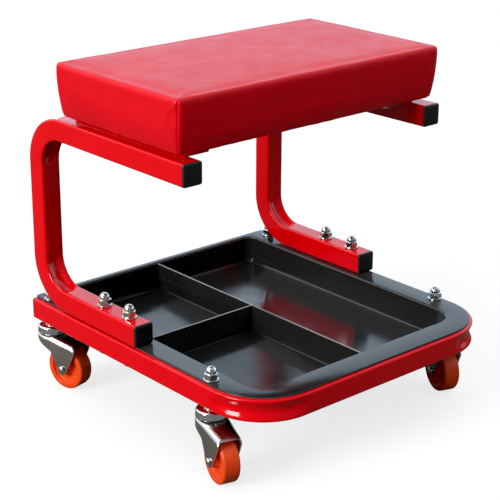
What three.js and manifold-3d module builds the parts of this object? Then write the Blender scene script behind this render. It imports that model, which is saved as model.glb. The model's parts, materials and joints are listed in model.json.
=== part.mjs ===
// A rolling creeper seat. A U-shaped base of square tube stands on four swivel casters and carries a
// moulded tool tray. Two C-shaped side arms of the same tube are bolted on the base and hold a padded,
// vinyl-covered seat.
//
// Units are millimetres. +X is the sitter's right, +Y the back and +Z up. The origin is on the floor,
// at the middle of the footprint.

import * as THREE from "three";
import { mergeVertices } from "three/addons/utils/BufferGeometryUtils.js";
import Module from "manifold-3d";

const wasm = await Module();
wasm.setup();

// ---------------------------------------------------------------- driving dimensions

const gap = 0.3; // fitting clearance between assembled pieces

// Square tube of the base and the side arms
const tubeSize = 24;
const tubeWall = 1.5;
const tubeCorner = 3;
const railX = 165; // centre lines of the base rails, side arms and their bolts
const bendSteps = 6; // flats that make up each bend

// Base
const baseBottom = 74.5;
const frontRailY = -180.5;
const baseEndY = 189.5;
const baseBendRadius = 53;

// Tool tray
const trayThickness = 2;
const trayHalfWidth = 172.5;
const trayFrontY = -189;
const trayRearY = 192.5;
const trayFrontRadius = 61;
const trayRearRadius = 5;
const wellHalfWidth = 146;
const wellFrontY = -160;
const wellRearY = 185;
const wellFrontRadius = 30;
const wellRearRadius = 12;
const wellDepth = 32;
const wellDraft = 3; // how far each wall leans in over the depth of the well
const dividerDrop = 1.5; // the dividers' top edges, below the flange
const longDividerX = -2;
const crossDividerY = 13;

// Side arms
const armLowerEndY = 0.5;
const armUpperEndY = -83;
const armBackY = 172;
const armUpperTop = 320.5;
const armSplay = { left: 0, right: 9 }; // how far the upper leg's end stands outwards of the lower leg
const armBendRadius = 44;

// Plastic end caps
const capHead = 2.7;
const capPlugDepth = 10;
const capBevel = 0.8;

// Seat
const seatHalfWidth = 182.5;
const seatFrontY = -85;
const seatRearY = 120.5;
const seatBottom = 326.5;
const seatTop = 385.5;
const seatCorner = 9;
const seatEdgeRadius = 5;
const vinylThickness = 1.2;
const vinylReturn = 28; // vinyl folded in under the board
const boardThickness = 10;
const boardInset = 5;
const bracketOuterX = 162;
const bracketInnerX = 129;
const bracketFrontY = -67.5;
const bracketRearY = 116;

// M8 fasteners
const boltRadius = 4;
const hexAcrossFlats = 13;
const headHeight = 5.3;
const lowHeadHeight = 3.5; // of the bolts up through the base
const washerRadius = 8;
const washerThickness = 1.6;
const nutHexHeight = 6;
const nutHeight = 13;
const nutDomeRadius = 5.6;
const nutBoreDepth = 9.5;
const roundSegments = 12;
const armBoltYs = { front: 23.5, rear: 67.5 };
const seatBoltYs = { front: -45, rear: 60 };
const seatBoltX = 142;

// Casters
const stemFrontY = -111;
const stemRearY = 171;
const casterTrail = 25; // from the swivel axis to the wheel's axle
const wheelRadius = 25;
const wheelHalfWidth = 9.3;
const wheelShoulder = 3;
const wheelRim = 7; // flat ring on each face of the wheel
const wheelRecess = 3.5;
const wheelFacets = 32;
const hubRadius = 5.5;
const hubHalfWidth = 12.2;
const axleRadius = 2.9;
const axleHeadRadius = 4;
const axleHeadHeight = 2.1;
const cupRadius = 16.5;
const cupBottom = 63;
const cupTop = 71;
const cupWall = 1.2;
const cupFacets = 20;
const forkTop = 61;
const forkSheet = 1.6;
const forkRoundRadius = 16.5;
const forkRearHalfWidth = 13.5;
const forkRear = { along: 43, height: 55.5 };
const forkLegRear = { along: 43, height: 50 }; // where the leg's rear edge meets the hood
const forkHoodStart = 12; // where the flat round top turns into the sloping hood
const forkSkirt = { along: -9.5, height: 55 };
const forkKnee = { along: 10, height: 44 };
const forkTipRadius = 7;
const raceRadius = 11;
const raceTop = 65.5;
const swivelHoleRadius = 4.7;
const collarRadius = 8;
const rivetHeadRadius = 6.5;
const rivetHeadHeight = 2.2;

// Each caster stands where it last rolled: the angle is from +X to its trailing direction.
const casters = [
  { name: "caster_fl", x: -railX, y: stemFrontY, angle: -105 },
  { name: "caster_fr", x: railX, y: stemFrontY, angle: -109.5 },
  { name: "caster_rl", x: -railX, y: stemRearY, angle: -77 },
  { name: "caster_rr", x: railX, y: stemRearY, angle: -75 },
];

// ---------------------------------------------------------------- levels worked out from those

const quarter = Math.PI / 2;
const baseTop = baseBottom + tubeSize;
const flangeBottom = baseTop + gap;
const flangeTop = flangeBottom + trayThickness;
const armBottom = flangeTop + gap;
const armLowerTop = armBottom + tubeSize;
const boltHoleRadius = boltRadius + gap;
const sides = { left: -1, right: 1 };

// ---------------------------------------------------------------- materials

const finish = (color, roughness, metalness = 0) =>
  new THREE.MeshStandardMaterial({ color, roughness, metalness, flatShading: true });

const redPaint = finish(0xd5061a, 0.25);
const redVinyl = finish(0xc8102a, 0.5);
const trayPlastic = finish(0x16181b, 0.3);
const capPlastic = finish(0x101010, 0.45);
const zinc = finish(0xc9ced2, 0.25, 1);
const chrome = finish(0xe4e6e8, 0.1, 1);
const wheelOrange = finish(0xf05a1e, 0.35);
const foam = finish(0xe9dfae, 0.95);
const plywood = finish(0xb98d58, 0.8);

// ---------------------------------------------------------------- joining and cutting

// A closed three.js geometry as a manifold solid.
function solidOf(geometry) {
  const bare = new THREE.BufferGeometry();
  bare.setAttribute("position", geometry.getAttribute("position"));
  bare.setIndex(geometry.index);
  const merged = mergeVertices(bare, 1e-3);
  const triangles = [];
  for (let i = 0; i < merged.index.count; i += 3) {
    const [a, b, c] = merged.index.array.slice(i, i + 3);
    if (a !== b && b !== c && c !== a) triangles.push(a, b, c);
  }
  return new wasm.Manifold(
    new wasm.Mesh({
      numProp: 3,
      vertProperties: merged.getAttribute("position").array,
      triVerts: new Uint32Array(triangles),
    }),
  );
}

// A manifold solid as a three.js geometry.
function geometryOf(solid) {
  const { vertProperties, triVerts } = solid.getMesh();
  const geometry = new THREE.BufferGeometry();
  geometry.setAttribute("position", new THREE.BufferAttribute(vertProperties, 3));
  geometry.setIndex(new THREE.BufferAttribute(triVerts, 1));
  geometry.computeVertexNormals();
  return geometry;
}

function meshOf(name, solid, material) {
  const mesh = new THREE.Mesh(geometryOf(solid), material);
  mesh.name = name;
  return mesh;
}

// ---------------------------------------------------------------- basic shapes

// An upright round bar between two heights, on the Z axis unless x and y say otherwise.
function bar(radius, bottom, top, x = 0, y = 0, facets = roundSegments) {
  const geometry = new THREE.CylinderGeometry(radius, radius, top - bottom, facets);
  geometry.rotateX(quarter);
  geometry.translate(x, y, (bottom + top) / 2);
  return solidOf(geometry);
}

// An upright hexagonal bar on the Z axis.
const hexBar = (bottom, top) => bar(hexAcrossFlats / Math.sqrt(3), bottom, top, 0, 0, 6);

function box(low, high) {
  const size = high.map((value, axis) => value - low[axis]);
  const geometry = new THREE.BoxGeometry(...size);
  geometry.translate(...low.map((value, axis) => value + size[axis] / 2));
  return solidOf(geometry);
}

// A flat outline, drawn in X and Y, as an upright slab between two heights.
function slab(outline, bottom, top, curveSegments = 3) {
  const geometry = new THREE.ExtrudeGeometry(outline, {
    depth: top - bottom,
    bevelEnabled: false,
    curveSegments,
  });
  geometry.translate(0, 0, bottom);
  return geometry;
}

// A profile of [radius, along] points turned around the Y axis. Going along the profile, with Y up
// and the radius to the right, the material is on the left.
function turnedGeometry(profile, facets, firstCorner = 0) {
  const points = profile.map(([radius, along]) => new THREE.Vector2(radius, along));
  return new THREE.LatheGeometry(points, facets, firstCorner);
}

// The same around the Z axis.
const turned = (profile, facets = roundSegments) =>
  solidOf(turnedGeometry(profile, facets).rotateX(quarter));

// A profile that is the same on both sides of its middle, from its positive half.
const mirrored = (half) => [...half.map(([radius, along]) => [radius, -along]).reverse(), ...half];

// An outline with a rounded corner of its own radius at the front and at the rear.
function roundedOutline(halfWidth, front, rear, frontRadius, rearRadius) {
  const outline = new THREE.Shape();
  const frontX = halfWidth - frontRadius;
  const rearX = halfWidth - rearRadius;
  outline.absarc(rearX, rear - rearRadius, rearRadius, 0, quarter);
  outline.absarc(-rearX, rear - rearRadius, rearRadius, quarter, 2 * quarter);
  outline.absarc(-frontX, front + frontRadius, frontRadius, 2 * quarter, 3 * quarter);
  outline.absarc(frontX, front + frontRadius, frontRadius, 3 * quarter, 4 * quarter);
  outline.closePath();
  return outline;
}

const roundedSquare = (size, radius) =>
  roundedOutline(size / 2, -size / 2, size / 2, radius, radius);

// ---------------------------------------------------------------- bent square tube

// Straight runs joined by round bends. ExtrudeGeometry asks for the path only at its stations:
// the two ends and the flats of each bend.
class BentPath extends THREE.Curve {
  constructor(corners, radius) {
    super();
    const first = corners[1].clone().sub(corners[0]).normalize();
    this.stations = [{ point: corners[0], tangent: first }];
    for (let i = 1; i < corners.length - 1; i += 1) {
      this.addBend(corners[i - 1], corners[i], corners[i + 1], radius);
    }
    const last = this.stations.at(-1).tangent;
    this.stations.push({ point: corners.at(-1), tangent: last });
  }

  addBend(before, corner, after, radius) {
    const along = corner.clone().sub(before).normalize();
    const onward = after.clone().sub(corner).normalize();
    const turn = along.angleTo(onward);
    const inward = onward.clone().addScaledVector(along, -Math.cos(turn)).normalize();
    const start = corner.clone().addScaledVector(along, -radius * Math.tan(turn / 2));
    const centre = start.clone().addScaledVector(inward, radius);
    for (let step = 0; step <= bendSteps; step += 1) {
      const angle = (turn * step) / bendSteps;
      const point = centre
        .clone()
        .addScaledVector(inward, -radius * Math.cos(angle))
        .addScaledVector(along, radius * Math.sin(angle));
      const tangent = along.clone().multiplyScalar(Math.cos(angle));
      tangent.addScaledVector(inward, Math.sin(angle));
      this.stations.push({ point, tangent });
    }
  }

  get steps() {
    return this.stations.length - 1;
  }

  getPointAt(u, target = new THREE.Vector3()) {
    return target.copy(this.stations[Math.round(u * this.steps)].point);
  }

  getTangentAt(u, target = new THREE.Vector3()) {
    return target.copy(this.stations[Math.round(u * this.steps)].tangent);
  }
}

// Hollow square tube along a bent path, open at both ends.
function bentTube(corners, radius) {
  const section = roundedSquare(tubeSize, tubeCorner);
  const inner = tubeSize / 2 - tubeWall;
  const bore = [[-inner, -inner], [inner, -inner], [inner, inner], [-inner, inner]];
  section.holes.push(new THREE.Path(bore.map(([x, y]) => new THREE.Vector2(x, y))));
  const path = new BentPath(corners, radius);
  const geometry = new THREE.ExtrudeGeometry(section, {
    steps: path.steps,
    extrudePath: path,
    curveSegments: 1,
  });
  return geometry;
}

// ---------------------------------------------------------------- fasteners

function hexBolt(headBottom, headTop, shankTop) {
  return hexBar(headBottom, headTop).add(bar(boltRadius, headTop - 1, shankTop));
}

function washer(bottom) {
  const top = bottom + washerThickness;
  return bar(washerRadius, bottom, top, 0, 0, 24).subtract(bar(boltHoleRadius, bottom - 1, top + 1));
}

// Domed cap nut with a blind bore.
function acornNut(bottom) {
  const shoulder = bottom + nutHexHeight;
  const domeBase = bottom + nutHeight - nutDomeRadius;
  const profile = [[0, shoulder - 1], [nutDomeRadius, shoulder - 1]];
  const domeSteps = 4;
  for (let step = 0; step < domeSteps; step += 1) {
    const angle = (quarter * step) / domeSteps;
    profile.push([
      nutDomeRadius * Math.cos(angle),
      domeBase + nutDomeRadius * Math.sin(angle),
    ]);
  }
  profile.push([0, bottom + nutHeight]);
  return hexBar(bottom, shoulder)
    .add(turned(profile))
    .subtract(bar(boltHoleRadius, bottom - 1, bottom + nutBoreDepth));
}

// ---------------------------------------------------------------- base frame

const stemPlaces = casters.map(({ x, y }) => [x, y]);
const armBoltPlaces = Object.values(sides).flatMap((side) =>
  Object.values(armBoltYs).map((y) => [side * railX, y]),
);

function drilled(solid, places, bottom, top) {
  return places.reduce(
    (rest, [x, y]) => rest.subtract(bar(boltHoleRadius, bottom, top, x, y)),
    solid,
  );
}

function buildBaseFrame() {
  const height = baseBottom + tubeSize / 2;
  const corners = [
    new THREE.Vector3(-railX, baseEndY, height),
    new THREE.Vector3(-railX, frontRailY, height),
    new THREE.Vector3(railX, frontRailY, height),
    new THREE.Vector3(railX, baseEndY, height),
  ];
  const tube = solidOf(bentTube(corners, baseBendRadius));
  const places = [...stemPlaces, ...armBoltPlaces];
  return meshOf("base_frame", drilled(tube, places, baseBottom - 1, baseTop + 1), redPaint);
}

// ---------------------------------------------------------------- tool tray

// The well's shape from its floor to the flange, with every wall leaning in towards the floor.
function wellBlock(grow, bottom, top) {
  const geometry = slab(
    roundedOutline(
      wellHalfWidth + grow,
      wellFrontY - grow,
      wellRearY + grow,
      wellFrontRadius + grow,
      wellRearRadius + grow,
    ),
    bottom,
    top,
  );
  const middleY = (wellFrontY + wellRearY) / 2;
  const halfLength = (wellRearY - wellFrontY) / 2;
  const place = geometry.getAttribute("position");
  for (let i = 0; i < place.count; i += 1) {
    const lean = (wellDraft * Math.max(0, flangeTop - place.getZ(i))) / wellDepth;
    place.setX(i, place.getX(i) * (1 - lean / wellHalfWidth));
    place.setY(i, middleY + (place.getY(i) - middleY) * (1 - lean / halfLength));
  }
  return solidOf(geometry);
}

function buildToolTray() {
  const floorTop = flangeTop - wellDepth;
  const flange = slab(
    roundedOutline(trayHalfWidth, trayFrontY, trayRearY, trayFrontRadius, trayRearRadius),
    flangeBottom,
    flangeTop,
  );
  const dividerBottom = floorTop - trayThickness / 2;
  const dividerTop = flangeTop - dividerDrop;
  const half = trayThickness / 2;
  const inWall = trayThickness / 2; // the dividers run this far into the walls
  const long = box(
    [longDividerX - half, wellFrontY - inWall, dividerBottom],
    [longDividerX + half, wellRearY + inWall, dividerTop],
  );
  const cross = box(
    [-wellHalfWidth - inWall, crossDividerY - half, dividerBottom],
    [longDividerX, crossDividerY + half, dividerTop],
  );
  const dividers = long.add(cross).intersect(wellBlock(inWall, dividerBottom, flangeTop));
  const tray = solidOf(flange)
    .add(wellBlock(trayThickness, floorTop - trayThickness, flangeTop))
    .subtract(wellBlock(0, floorTop, flangeTop + 1))
    .add(dividers);
  const places = [...stemPlaces, ...armBoltPlaces];
  return meshOf("tool_tray", drilled(tray, places, flangeBottom - 1, flangeTop + 1), trayPlastic);
}

// ---------------------------------------------------------------- side arms

// How far an arm's centre line stands outwards at a place along its upper leg.
function splayAt(side, y) {
  return (sides[side] * armSplay[side] * (armBackY - y)) / (armBackY - armUpperEndY);
}

function buildSideArm(name, side) {
  const lowerHeight = armBottom + tubeSize / 2;
  const upperHeight = armUpperTop - tubeSize / 2;
  const corners = [
    new THREE.Vector3(0, armLowerEndY, lowerHeight),
    new THREE.Vector3(0, armBackY, lowerHeight),
    new THREE.Vector3(0, armBackY, upperHeight),
    new THREE.Vector3(0, armUpperEndY, upperHeight),
  ];
  const tube = bentTube(corners, armBendRadius);
  const middleHeight = (lowerHeight + upperHeight) / 2;
  const place = tube.getAttribute("position");
  for (let i = 0; i < place.count; i += 1) {
    if (place.getZ(i) > middleHeight) {
      place.setX(i, place.getX(i) + splayAt(side, place.getY(i)));
    }
  }
  const holes = Object.values(armBoltYs).map((y) => [0, y]);
  const arm = drilled(solidOf(tube), holes, armBottom - 1, armLowerTop + 1);
  const mesh = meshOf(name, arm, redPaint);
  mesh.position.x = sides[side] * railX;
  return mesh;
}

// ---------------------------------------------------------------- end caps

// A push-in cap that closes a tube end at the origin and faces +Z, with a hollow plug behind it.
function endCap() {
  const outline = roundedSquare(tubeSize - 2 * capBevel, tubeCorner - capBevel);
  const head = new THREE.ExtrudeGeometry(outline, {
    depth: capHead - 2 * capBevel,
    bevelThickness: capBevel,
    bevelSize: capBevel,
    bevelSegments: 1,
    curveSegments: 1,
  });
  head.translate(0, 0, gap + capBevel);
  const plugSize = tubeSize - 2 * tubeWall - 2 * gap;
  const plug = slab(roundedSquare(plugSize, 1), -capPlugDepth, gap + capHead / 2, 1);
  const hollow = slab(roundedSquare(plugSize - 4, 0.5), -capPlugDepth - 1, gap, 1);
  return solidOf(head).add(solidOf(plug)).subtract(solidOf(hollow));
}

function placedCap(name, x, y, z, facing) {
  const cap = meshOf(name, endCap(), capPlastic);
  cap.position.set(x, y, z);
  cap.rotation.x = -facing * quarter;
  return cap;
}

function buildEndCaps(side, sign) {
  const x = sign * railX;
  const lower = armBottom + tubeSize / 2;
  const upper = armUpperTop - tubeSize / 2;
  const upperX = x + splayAt(side, armUpperEndY + capPlugDepth / 2);
  return [
    placedCap(`base_end_cap_${side}`, x, baseEndY, baseBottom + tubeSize / 2, 1),
    placedCap(`arm_lower_cap_${side}`, x, armLowerEndY, lower, -1),
    placedCap(`arm_upper_cap_${side}`, upperX, armUpperEndY, upper, -1),
  ];
}

// ---------------------------------------------------------------- seat

// A block of the seat's plan, inset all round, with rounded upper and lower edges.
function seatBlock(inset, bottom, top, edge) {
  const corner = Math.max(seatCorner - inset - edge, 0.5);
  const outline = roundedOutline(
    seatHalfWidth - inset - edge,
    seatFrontY + inset + edge,
    seatRearY - inset - edge,
    corner,
    corner,
  );
  const geometry = new THREE.ExtrudeGeometry(outline, {
    depth: top - bottom - 2 * edge,
    bevelThickness: edge,
    bevelSize: edge,
    bevelSegments: 3,
    curveSegments: 1,
  });
  geometry.translate(0, 0, bottom + edge);
  return solidOf(geometry);
}

const seatBoltPlaces = Object.values(sides).flatMap((side) =>
  Object.values(seatBoltYs).map((y) => [side * seatBoltX, y]),
);

function buildSeat() {
  const cavityBottom = seatBottom + vinylThickness;
  const cavityTop = seatTop - vinylThickness;
  const cavityEdge = seatEdgeRadius - vinylThickness;
  const boardBottom = cavityBottom + gap;
  const boardTop = boardBottom + boardThickness;
  const opening = box(
    [-seatHalfWidth + vinylReturn, seatFrontY + vinylReturn, seatBottom - 1],
    [seatHalfWidth - vinylReturn, seatRearY - vinylReturn, cavityBottom + 1],
  );
  const cover = seatBlock(0, seatBottom, seatTop, seatEdgeRadius)
    .subtract(seatBlock(vinylThickness, cavityBottom, cavityTop, cavityEdge))
    .subtract(opening);
  const padding = seatBlock(vinylThickness + gap, boardTop + gap, cavityTop - gap, cavityEdge);
  const board = slab(
    roundedOutline(
      seatHalfWidth - boardInset,
      seatFrontY + boardInset,
      seatRearY - boardInset,
      seatCorner,
      seatCorner,
    ),
    boardBottom,
    boardTop,
    1,
  );
  return [
    meshOf("seat_cover", cover, redVinyl),
    meshOf("seat_foam", padding, foam),
    meshOf(
      "seat_board",
      drilled(solidOf(board), seatBoltPlaces, boardBottom - 1, boardTop + 1),
      plywood,
    ),
  ];
}

// Flat steel bar welded along each arm's inner top edge. The seat is bolted to the part that overhangs.
function buildSeatBracket(name, side) {
  const edges = [side * bracketInnerX, side * bracketOuterX].sort((a, b) => a - b);
  const bottom = armUpperTop + gap;
  const top = seatBottom - gap;
  const plate = box([edges[0], bracketFrontY, bottom], [edges[1], bracketRearY, top]);
  const places = Object.values(seatBoltYs).map((y) => [side * seatBoltX, y]);
  return meshOf(name, drilled(plate, places, bottom - 1, top + 1), redPaint);
}

// ---------------------------------------------------------------- bolts, nuts and washers

function buildFasteners(side, sign) {
  const pieces = [];
  const add = (name, solid, y, x = railX) => {
    const mesh = meshOf(name, solid, zinc);
    mesh.position.set(sign * x, y, 0);
    pieces.push(mesh);
  };
  const washerBottom = armLowerTop + gap;
  const nutBottom = washerBottom + washerThickness + gap;
  const boltTop = nutBottom + nutBoreDepth - 1;
  const lowHeadBottom = baseBottom - gap - lowHeadHeight;
  for (const [end, y] of Object.entries(armBoltYs)) {
    add(`arm_bolt_${side}_${end}`, hexBolt(lowHeadBottom, baseBottom - gap, boltTop), y);
    add(`arm_washer_${side}_${end}`, washer(washerBottom), y);
    add(`arm_acorn_nut_${side}_${end}`, acornNut(nutBottom), y);
  }
  const seatBoltTop = seatBottom + vinylThickness + boardThickness - 1;
  const seatBolt = hexBolt(armUpperTop - headHeight, armUpperTop, seatBoltTop);
  for (const [end, y] of Object.entries(seatBoltYs)) {
    add(`seat_bolt_${side}_${end}`, seatBolt, y, seatBoltX);
  }
  return pieces;
}

// ---------------------------------------------------------------- casters
// Each caster is drawn with its swivel axis on Z and its wheel trailing along +X.

// The threaded stem with its collar, running down through the cup and riveted under the fork.
function casterStem() {
  const rivetTop = forkTop - forkSheet - gap;
  const rivetBottom = rivetTop - rivetHeadHeight;
  const threadTop = flangeTop + washerThickness + 2 * gap + nutBoreDepth - 1;
  return bar(boltRadius, rivetBottom + 1, threadTop)
    .add(bar(rivetHeadRadius, rivetBottom, rivetTop))
    .add(bar(collarRadius, cupTop + gap, baseBottom - gap));
}

// The pressed cup over the swivel's ball race.
function casterCup() {
  const edge = 2;
  const inner = cupRadius - cupWall;
  const ceiling = cupTop - cupWall;
  return turned(
    [
      [inner, cupBottom],
      [cupRadius, cupBottom],
      [cupRadius, cupTop - edge],
      [cupRadius - edge, cupTop],
      [boltHoleRadius, cupTop],
      [boltHoleRadius, ceiling],
      [inner - edge / 2, ceiling],
      [inner, ceiling - edge / 2],
      [inner, cupBottom],
    ],
    cupFacets,
  );
}

// Where a straight edge from a point touches the fork's round tip, as an angle about the axle.
function tipAngle({ along, height }, turnSign) {
  const dx = along - casterTrail;
  const dz = height - wheelRadius;
  return Math.atan2(dz, dx) + turnSign * Math.acos(forkTipRadius / Math.hypot(dx, dz));
}

// The fork seen from the side: flat round top, sloping hood, and a leg that narrows to the axle.
function forkSideBlock() {
  const outline = new THREE.Shape();
  outline.moveTo(-forkRoundRadius - 1, forkTop);
  outline.lineTo(-forkRoundRadius - 1, forkSkirt.height);
  outline.lineTo(forkSkirt.along, forkSkirt.height);
  outline.lineTo(forkKnee.along, forkKnee.height);
  outline.absarc(
    casterTrail,
    wheelRadius,
    forkTipRadius,
    tipAngle(forkKnee, 1),
    tipAngle(forkLegRear, -1) + 4 * quarter,
  );
  outline.lineTo(forkLegRear.along, forkLegRear.height);
  outline.lineTo(forkRear.along, forkRear.height);
  outline.lineTo(forkHoodStart, forkTop);
  outline.closePath();
  return uprightBlock(outline, 2 * forkRoundRadius + 2);
}

// Everything below the fork's top sheet, seen from the side.
function forkRoomBlock() {
  const slope = (forkRear.height - forkTop) / (forkRear.along - forkHoodStart);
  const under = forkTop - forkSheet;
  const reach = 20;
  const sloped = (along) => {
    const drop = forkSheet * Math.hypot(1, slope);
    return forkTop - drop + slope * (along - forkHoodStart);
  };
  const bend = forkHoodStart + (under - sloped(forkHoodStart)) / slope;
  const outline = new THREE.Shape();
  outline.moveTo(-forkRoundRadius - reach, 0);
  outline.lineTo(forkRear.along + reach, 0);
  outline.lineTo(forkRear.along + reach, sloped(forkRear.along + reach));
  outline.lineTo(bend, under);
  outline.lineTo(-forkRoundRadius - reach, under);
  outline.closePath();
  return uprightBlock(outline, 2 * forkRoundRadius + 2);
}

// An outline drawn in X and height, made into a block centred on Y = 0.
function uprightBlock(outline, width) {
  const geometry = slab(outline, -width / 2, width / 2, 4);
  return solidOf(geometry.rotateX(quarter));
}

// The fork seen from above: round in front, its sides closing in to the rear edge.
function forkPlanBlock(inset, extraRear) {
  const radius = forkRoundRadius - inset;
  const halfWidth = forkRearHalfWidth - inset;
  const rear = forkRear.along + extraRear;
  const outline = new THREE.Shape();
  outline.moveTo(rear, -halfWidth);
  outline.lineTo(rear, halfWidth);
  outline.absarc(0, 0, radius, quarter, 3 * quarter);
  outline.closePath();
  return solidOf(slab(outline, 0, forkTop, 5));
}

function casterFork() {
  const shell = forkPlanBlock(0, 0).intersect(forkSideBlock());
  const room = forkPlanBlock(forkSheet, 20).intersect(forkRoomBlock());
  const axleHole = bar(axleRadius + gap, -30, 30);
  const race = bar(raceRadius, forkTop - 1, raceTop, 0, 0, cupFacets);
  const swivelHole = bar(swivelHoleRadius, 0, raceTop + 1, 0, 0, cupFacets);
  return shell
    .subtract(room)
    .subtract(axleHole.rotate([90, 0, 0]).translate([casterTrail, 0, wheelRadius]))
    .add(race)
    .subtract(swivelHole);
}

// Polyurethane wheel on a hub. Each tread facet touches the rolling circle, so the wheel stands
// on a flat.
function casterWheel() {
  const overCorners = 1 / Math.cos(Math.PI / wheelFacets);
  const bore = axleRadius + gap;
  const recessRadius = wheelRadius - wheelRim;
  const web = wheelHalfWidth - wheelRecess;
  const face = [
    [wheelRadius, wheelHalfWidth - wheelShoulder],
    [wheelRadius - wheelShoulder, wheelHalfWidth],
    [recessRadius, wheelHalfWidth],
    [recessRadius - 1, web],
    [hubRadius, web],
    [hubRadius, hubHalfWidth],
    [bore, hubHalfWidth],
  ];
  const profile = mirrored(face.map(([radius, along]) => [radius * overCorners, along]));
  const flatsDown = Math.PI / wheelFacets;
  return solidOf(turnedGeometry([...profile, profile[0]], wheelFacets, flatsDown));
}

// The riveted axle, with a low dome at each end.
function casterAxle() {
  const closingIn = (forkRoundRadius - forkRearHalfWidth) / forkRear.along;
  const seat = forkRoundRadius - closingIn * casterTrail + 2 * gap;
  const head = [
    [axleRadius, seat],
    [axleHeadRadius, seat],
    [axleHeadRadius * 0.85, seat + axleHeadHeight * 0.6],
    [axleHeadRadius * 0.45, seat + axleHeadHeight * 0.95],
    [0, seat + axleHeadHeight],
  ];
  return solidOf(turnedGeometry(mirrored(head), roundSegments));
}

function buildCaster({ name, x, y, angle }) {
  const group = new THREE.Group();
  group.position.set(x, y, 0);
  group.rotation.z = THREE.MathUtils.degToRad(angle);

  const wheel = meshOf(`${name}_wheel`, casterWheel(), wheelOrange);
  const axle = meshOf(`${name}_axle`, casterAxle(), zinc);
  for (const piece of [wheel, axle]) {
    piece.position.set(casterTrail, 0, wheelRadius);
  }

  const washerBottom = flangeTop + gap;
  const nutBottom = washerBottom + washerThickness + gap;
  group.add(
    meshOf(`${name}_stem`, casterStem(), zinc),
    meshOf(`${name}_cup`, casterCup(), chrome),
    meshOf(`${name}_fork`, casterFork(), zinc),
    wheel,
    axle,
    meshOf(`${name}_washer`, washer(washerBottom), zinc),
    meshOf(`${name}_acorn_nut`, acornNut(nutBottom), chrome),
  );
  return group;
}

// ---------------------------------------------------------------- assembly

const creeperSeat = new THREE.Group();
creeperSeat.add(buildBaseFrame(), buildToolTray(), ...buildSeat());
for (const [side, sign] of Object.entries(sides)) {
  creeperSeat.add(
    buildSideArm(`side_arm_${side}`, side),
    buildSeatBracket(`seat_bracket_${side}`, sign),
    ...buildEndCaps(side, sign),
    ...buildFasteners(side, sign),
  );
}
creeperSeat.add(...casters.map(buildCaster));

export default creeperSeat;
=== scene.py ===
"""The looks of a rolling creeper seat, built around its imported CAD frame.

Shapes are worked out in millimetres, in the frame's own axes, and become metres where a mesh is made.
"""

import json
import math
from math import cos, pi, radians, sin, sqrt, tau

import bmesh
import bpy
from mathutils import Matrix, Vector, noise


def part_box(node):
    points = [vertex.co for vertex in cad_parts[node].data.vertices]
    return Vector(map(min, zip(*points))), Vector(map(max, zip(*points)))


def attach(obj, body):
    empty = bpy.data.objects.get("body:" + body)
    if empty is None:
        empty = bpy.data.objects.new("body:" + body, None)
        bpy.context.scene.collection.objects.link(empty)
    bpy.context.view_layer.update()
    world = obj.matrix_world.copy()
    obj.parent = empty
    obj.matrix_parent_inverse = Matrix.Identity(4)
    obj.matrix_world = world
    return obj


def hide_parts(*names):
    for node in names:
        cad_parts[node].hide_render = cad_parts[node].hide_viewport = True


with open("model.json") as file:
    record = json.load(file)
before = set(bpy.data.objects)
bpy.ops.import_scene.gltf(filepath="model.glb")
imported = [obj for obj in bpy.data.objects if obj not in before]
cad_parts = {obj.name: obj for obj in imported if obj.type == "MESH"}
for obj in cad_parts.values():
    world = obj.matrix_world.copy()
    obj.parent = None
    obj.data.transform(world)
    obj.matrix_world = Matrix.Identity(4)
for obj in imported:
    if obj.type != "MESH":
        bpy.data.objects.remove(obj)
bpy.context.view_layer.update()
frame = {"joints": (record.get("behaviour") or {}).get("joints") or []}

MM = 0.001

# -------- sizes that the frame's boxes don't give

GAP = 0.3  # clearance between fitted pieces

TUBE_WALL = 1.5
TUBE_CORNER = 2.5
BASE_BEND_RADIUS = 53.0
ARM_BEND_RADIUS = 44.0
CAP_HEAD = 3.0

FLANGE_FRONT_RADIUS = 61.0
FLANGE_REAR_RADIUS = 5.0
WELL_FRONT_RADIUS = 30.0
WELL_REAR_RADIUS = 12.0
WELL_SIDE_MARGIN = 26.5  # from the flange's edge to the mouth of the well
WELL_FRONT_MARGIN = 29.0
WELL_REAR_MARGIN = 7.5
WELL_DRAFT = 3.0
TRAY_SHEET = 2.0
DIVIDER_DROP = 1.5
LONG_DIVIDER_X = -2.0
CROSS_DIVIDER_Y = 13.0

BOLT_RADIUS = 4.0
BOLT_BORE = BOLT_RADIUS + GAP
HEX_ACROSS = 13.0
HEX_CHAMFER_RADIUS = 6.2
NUT_HEX = 6.0
NUT_DOME_RADIUS = 5.6
NUT_BORE = 9.5
THREAD_RADIUS = 3.6  # at the root

FORK_TOP = 61.0
FORK_SHEET = 1.6
FORK_FRONT_RADIUS = 16.5
FORK_REAR = Vector((43.0, 13.5, 55.5))  # along, half width and height of the hood's rear
FORK_NARROWING = (FORK_FRONT_RADIUS - FORK_REAR.y) / FORK_REAR.x
FORK_HOOD_START = 12.0
FORK_CURL = 4.0  # the last part of the hood curls down
FORK_SKIRT = Vector((-9.5, 55.0))  # along and height where the front skirt's edge starts to fall
FORK_KNEE = Vector((10.0, 44.0))
FORK_TIP_RADIUS = 5.5
FORK_TIP_OFFSET = Vector((0.4, -1.2))  # from the axle to the middle of the tip
RACE_RADIUS = 11.0
RACE_TOP = 65.5
SWIVEL_HOLE_RADIUS = 4.7


def span(node):
    """A CAD node's lowest and highest corner, in millimetres."""
    low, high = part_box(node)
    return low / MM, high / MM


def middle(node):
    low, high = span(node)
    return (low + high) / 2


def spot(node, turn=0.0):
    """A CAD node's place in plan, with a turn about its own upright axis in degrees."""
    where = middle(node)
    return Matrix.Translation((where.x, where.y, 0)) @ Matrix.Rotation(radians(turn), 4, "Z")


def radius_of(node):
    low, high = span(node)
    return (high.x - low.x) / 2


# -------- levels and places taken from the frame

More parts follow.
